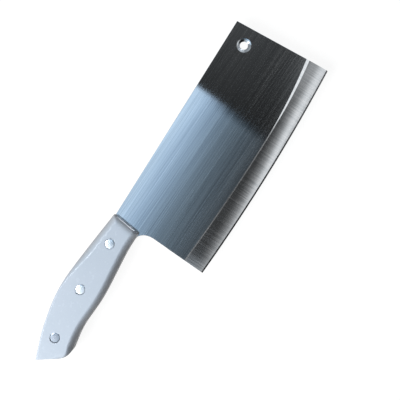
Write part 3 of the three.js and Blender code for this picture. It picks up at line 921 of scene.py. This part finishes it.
toward_handle = node(tree, "MapRange", Value=span, From_Min=-0.056, From_Max=0.121,
                     To_Min=0.08, To_Max=-0.12).outputs[0]
lean = node(tree, "Math", TIMES_PLUS, _0=toward_handle, _1=low_part, _2=1.0).outputs[0]
sky = node(tree, "Mix", SHADED, Factor=1.0, _6=sky_bands.outputs[0], _7=lean).outputs[2]

# The cloth over the tip: its border casts a soft fringe of shade on the low sky, and the cloth is paler
# beyond the tip and toward the spine.
CLOTH_LEAN = -0.08
lip = node(tree, "Math", TIMES_PLUS, _0=rise, _1=CLOTH_LEAN, _2=span).outputs[0]
border = node(tree, "MapRange", SOFT, Value=lip, From_Min=0.1499, From_Max=0.1545).outputs[0]
fringe = node(tree, "MapRange", SOFT, Value=lip, From_Min=0.137, From_Max=0.1525, To_Max=-0.85).outputs[0]
low_sky = node(tree, "MapRange", SOFT, Value=rise, From_Min=0.06, From_Max=0.02).outputs[0]
fringe = node(tree, "Math", TIMES_PLUS, _0=fringe, _1=low_sky, _2=1.0).outputs[0]
sky = node(tree, "Mix", SHADED, Factor=1.0, _6=sky, _7=fringe).outputs[2]
beyond_tip = node(tree, "MapRange", Value=span, From_Min=0.158, From_Max=0.27,
                  To_Min=0.038, To_Max=0.081).outputs[0]
toward_spine = node(tree, "MapRange", Value=rise, From_Min=-0.04, From_Max=0.05,
                    To_Min=0.45, To_Max=1.0).outputs[0]
cloth = node(tree, "Math", TIMES, _0=beyond_tip, _1=toward_spine).outputs[0]
over_face = node(tree, "Mix", COLOURS, Factor=border, _6=sky, _7=cloth).outputs[2]

# The panel beyond the edge, which the bevel mirrors: it begins nearer toward the tip, and brightens
# with the distance past its start.
STRIP_LIGHT = 0.055
STRIP_LIGHT_TIP = 0.475
PANEL_STOPS = [(0.0, 0.045), (0.18, 0.06), (0.30, 0.105), (0.405, 0.18), (0.5, 0.25), (0.607, 0.38),
               (0.714, 0.67), (0.81, 1.0), (0.905, 1.12), (0.976, 1.24)]
start = node(tree, "MapRange", Value=span, From_Min=0.011, From_Max=0.175,
             To_Min=0.136, To_Max=0.112).outputs[0]
lead = node(tree, "MapRange", Value=span, From_Min=0.175, From_Max=0.295, To_Min=0.0, To_Max=0.03).outputs[0]
start = node(tree, "Math", {"operation": "SUBTRACT"}, _0=start, _1=lead).outputs[0]
before = node(tree, "Math", {"operation": "ADD"}, _0=start, _1=rise).outputs[0]
share = node(tree, "MapRange", Value=before, From_Min=0.06, From_Max=-0.024).outputs[0]
panel = node(tree, "ValToRGB", Fac=share)
set_stops(panel, [(at, (light, light, light)) for at, light in PANEL_STOPS])

# Over the tip half the panel is pale from its very start, and over the heel half it ends sooner, so that
# the steep strip is bright at the tip alone. Its far end is dark, which the honed edge mirrors, and a
# dark band lies just past its brightest part.
at_tip = node(tree, "MapRange", Value=span, From_Min=0.155, From_Max=0.271).outputs[0]
at_tip = node(tree, "Math", {"operation": "POWER"}, _0=at_tip, _1=2.0).outputs[0]
pale = node(tree, "MapRange", Value=at_tip, To_Min=STRIP_LIGHT, To_Max=STRIP_LIGHT_TIP).outputs[0]
level = node(tree, "Math", LARGER, _0=panel.outputs[0], _1=pale).outputs[0]
past = node(tree, "MapRange", SOFT, Value=rise, From_Min=-0.142, From_Max=-0.154).outputs[0]
at_heel = node(tree, "MapRange", SOFT, Value=span, From_Min=0.155, From_Max=0.2,
               To_Min=-0.8, To_Max=0.0).outputs[0]
heel_end = node(tree, "Math", TIMES_PLUS, _0=past, _1=at_heel, _2=1.0).outputs[0]
far_end = node(tree, "MapRange", SOFT, Value=rise, From_Min=-0.175, From_Max=-0.215,
               To_Min=1.0, To_Max=0.03).outputs[0]
band_start = node(tree, "MapRange", SOFT, Value=before, From_Min=-0.0245, From_Max=-0.027,
                  To_Max=-0.6).outputs[0]
band_end = node(tree, "MapRange", SOFT, Value=before, From_Min=-0.04, From_Max=-0.034).outputs[0]
dark_band = node(tree, "Math", TIMES_PLUS, _0=band_start, _1=band_end, _2=1.0).outputs[0]
for shadow in (heel_end, far_end, dark_band):
    level = node(tree, "Math", TIMES, _0=level, _1=shadow).outputs[0]
seam = node(tree, "MapRange", SOFT, Value=rise, From_Min=-0.047, From_Max=-0.055).outputs[0]
light = node(tree, "Mix", COLOURS, Factor=seam, _6=over_face, _7=level).outputs[2]

# Round it a grey ceiling, which the countersink of the hole mirrors, and the faces from other angles.
CEILING_LIGHT = (0.62, 0.64, 0.67, 1)
ceiling = node(tree, "MapRange", SOFT, Value=span, From_Min=0.32, From_Max=0.45).outputs[0]
for near_side, far_side in ((0.14, 0.25), (-0.45, -0.6)):
    outside = node(tree, "MapRange", SOFT, Value=rise, From_Min=near_side, From_Max=far_side).outputs[0]
    ceiling = node(tree, "Math", LARGER, _0=ceiling, _1=outside).outputs[0]
light = node(tree, "Mix", COLOURS, Factor=ceiling, _6=light, _7=CEILING_LIGHT).outputs[2]

# The pale wing over the handle, which the rivets mirror, dark beyond its far end, and a bright lamp on
# its far side, which draws a line along the crease of the handle's back.
WING_LIGHT = (0.92, 1.0, 1.08, 1)
BEYOND_LIGHT = (0.1, 0.1, 0.11, 1)
BULB_LIGHT = (12.0, 12.4, 12.8, 1)
wing = node(tree, "MapRange", SOFT, Value=span, From_Min=-0.072, From_Max=-0.1).outputs[0]
shown = node(tree, "MapRange", SOFT, Value=rise, From_Min=-0.14, From_Max=-0.09).outputs[0]
wing = node(tree, "Math", TIMES, _0=wing, _1=shown).outputs[0]
light = node(tree, "Mix", COLOURS, Factor=wing, _6=light, _7=WING_LIGHT).outputs[2]
beyond = node(tree, "MapRange", SOFT, Value=span, From_Min=-0.42, From_Max=-0.5).outputs[0]
light = node(tree, "Mix", COLOURS, Factor=beyond, _6=light, _7=BEYOND_LIGHT).outputs[2]
bulb = node(tree, "MapRange", SOFT, Value=rise, From_Min=0.19, From_Max=0.21).outputs[0]
for value, dark, bright in ((rise, 0.36, 0.32), (span, -0.25, -0.19), (span, -0.075, -0.095)):
    shown = node(tree, "MapRange", Value=value, From_Min=dark, From_Max=bright).outputs[0]
    bulb = node(tree, "Math", TIMES, _0=bulb, _1=shown).outputs[0]
light = node(tree, "Mix", COLOURS, Factor=bulb, _6=light, _7=BULB_LIGHT).outputs[2]
glow = node(tree, "Emission", Color=light, Strength=1.0).outputs[0]
tree.links.new(glow, tree.nodes["Material Output"].inputs["Surface"])

# WINDOW CARD
# A bright upright card low beyond the tip, seen only in polished faces: it draws the light rim along
# the round of the handle's front.
CARD_PLACE = (1.1, 0, 0.14)
CARD_HEIGHT = 0.22
CARD_WIDTH = 0.9
CARD_GLOW = 32.0
bpy.ops.object.select_all(action="DESELECT")
bpy.ops.mesh.primitive_plane_add(size=1, location=CARD_PLACE, rotation=(0, math.radians(90), 0))
card = bpy.context.object
card.name = "window_card"
card.scale = (CARD_HEIGHT, CARD_WIDTH, 1)
bpy.ops.object.transform_apply(location=True, rotation=True, scale=True)
tree = show_in_mirrors(card, "window_pane")
glow = node(tree, "Emission", Color=colour("#F4F8FF"), Strength=CARD_GLOW).outputs[0]
tree.links.new(glow, tree.nodes["Material Output"].inputs["Surface"])

# LIGHT
# A broad soft lamp beyond the butt, high and on the side of the back, turned to the handle, and an even
# pale room around it, which is white to the eye and in mirrors.
LAMP_SIZE = (0.8, 0.64)
LAMP_POWER = 15.9
LAMP_PLACE = Vector((-0.8, 0.36, 0.72))
LAMP_AIM = Vector((-0.06, 0.02, 0))
ROOM_LIGHT = 0.08
lamp = bpy.data.lights.new("window_lamp", "AREA")
lamp.shape = "RECTANGLE"
lamp.size, lamp.size_y = LAMP_SIZE
lamp.energy = LAMP_POWER
lamp_object = bpy.data.objects.new("window_lamp", lamp)
lamp_object.location = LAMP_PLACE
lamp_object.rotation_euler = (LAMP_AIM - LAMP_PLACE).to_track_quat("-Z", "Y").to_euler()
bpy.context.scene.collection.objects.link(lamp_object)

room = bpy.data.worlds.new("pale_room")
room.use_nodes = True
tree = room.node_tree
direct = seen_directly(tree)
level = node(tree, "MapRange", Value=direct, To_Min=ROOM_LIGHT, To_Max=1.0).outputs[0]
tint = node(tree, "Mix", COLOURS, Factor=direct, _6=colour("#E4EEFA"), _7=colour("#FFFFFF")).outputs[2]
link(tree, tree.nodes["Background"], Color=tint, Strength=level)
bpy.context.scene.world = room

# CAMERA
# A camera straight above the knife, about 40 cm over the blade, turned so that the knife lies aslant
# with its whole outline in the square picture.
CAMERA_PLACE = (0.01548, -0.0104, 0.4097)
CAMERA_TURN = math.radians(-58.089)
camera = bpy.data.cameras.new("camera")
camera.sensor_width = 36
camera.lens = 47.63
camera_object = bpy.data.objects.new("camera", camera)
camera_object.location = CAMERA_PLACE
camera_object.rotation_euler = (0, 0, CAMERA_TURN)
bpy.context.scene.collection.objects.link(camera_object)
bpy.context.scene.camera = camera_object
bpy.context.scene.view_settings.view_transform = "Standard"
